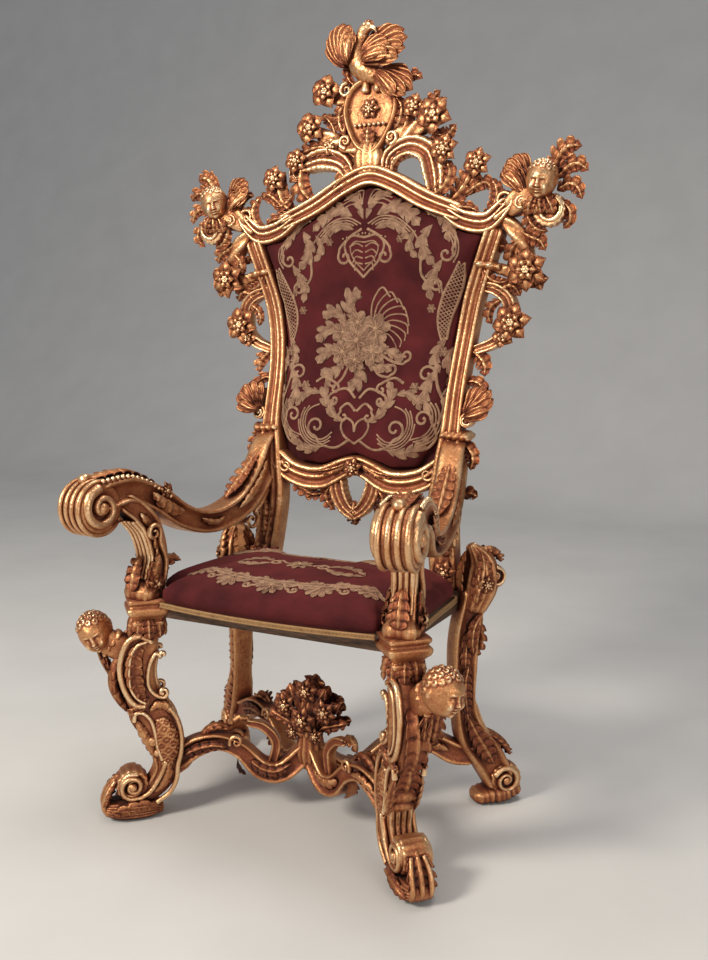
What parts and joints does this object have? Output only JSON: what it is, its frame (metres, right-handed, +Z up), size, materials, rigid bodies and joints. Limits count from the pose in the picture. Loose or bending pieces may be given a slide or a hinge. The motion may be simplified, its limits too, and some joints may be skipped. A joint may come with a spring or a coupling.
{
  "type": "throne",
  "caption": "High-backed ceremonial armchair of carved and gilded wood, with a crest and bird finial, scrolled arms and legs, and embroidered dark red velvet on back and seat.",
  "frame": {"origin": "on the floor under the middle of the bounding box", "axes": "+Z up, +X to the right of a viewer who faces the throne, -Y towards that viewer"},
  "size_m": [1.0742, 0.746, 1.8936],
  "materials": {
    "gilt": "gilded over red bole, satin to bright on the ridges",
    "plain_wood": "plain dark wood, matt",
    "velvet_seat": "velvet with embroidery",
    "velvet_back": "velvet with embroidery",
    "velvet_plain": "plain velvet",
    "braid": "woven gimp"
  },
  "bodies": {
    "root": {"front_leg_left": "gilt", "arm_support_left": "gilt", "armrest_left": "gilt", "rear_leg_left": "gilt", "back_stile_left": "gilt", "corner_head_left": "gilt", "stretcher_front_left": "gilt", "stretcher_rear_left": "gilt", "side_rail_left": "plain_wood", "seat_braid_left": "braid", "front_leg_right": "gilt", "arm_support_right": "gilt", "armrest_right": "gilt", "rear_leg_right": "gilt", "back_stile_right": "gilt", "corner_head_right": "gilt", "stretcher_front_right": "gilt", "stretcher_rear_right": "gilt", "side_rail_right": "plain_wood", "seat_braid_right": "braid", "crest_rail": "gilt", "crest_finial": "gilt", "lower_back_rail": "gilt", "back_pad": "velvet_back", "back_cloth": "velvet_plain", "seat_cushion": "velvet_seat", "seat_braid_front": "braid", "front_rail": "plain_wood", "rear_rail": "plain_wood", "stretcher_finial": "gilt"}
  },
  "joints": []
}
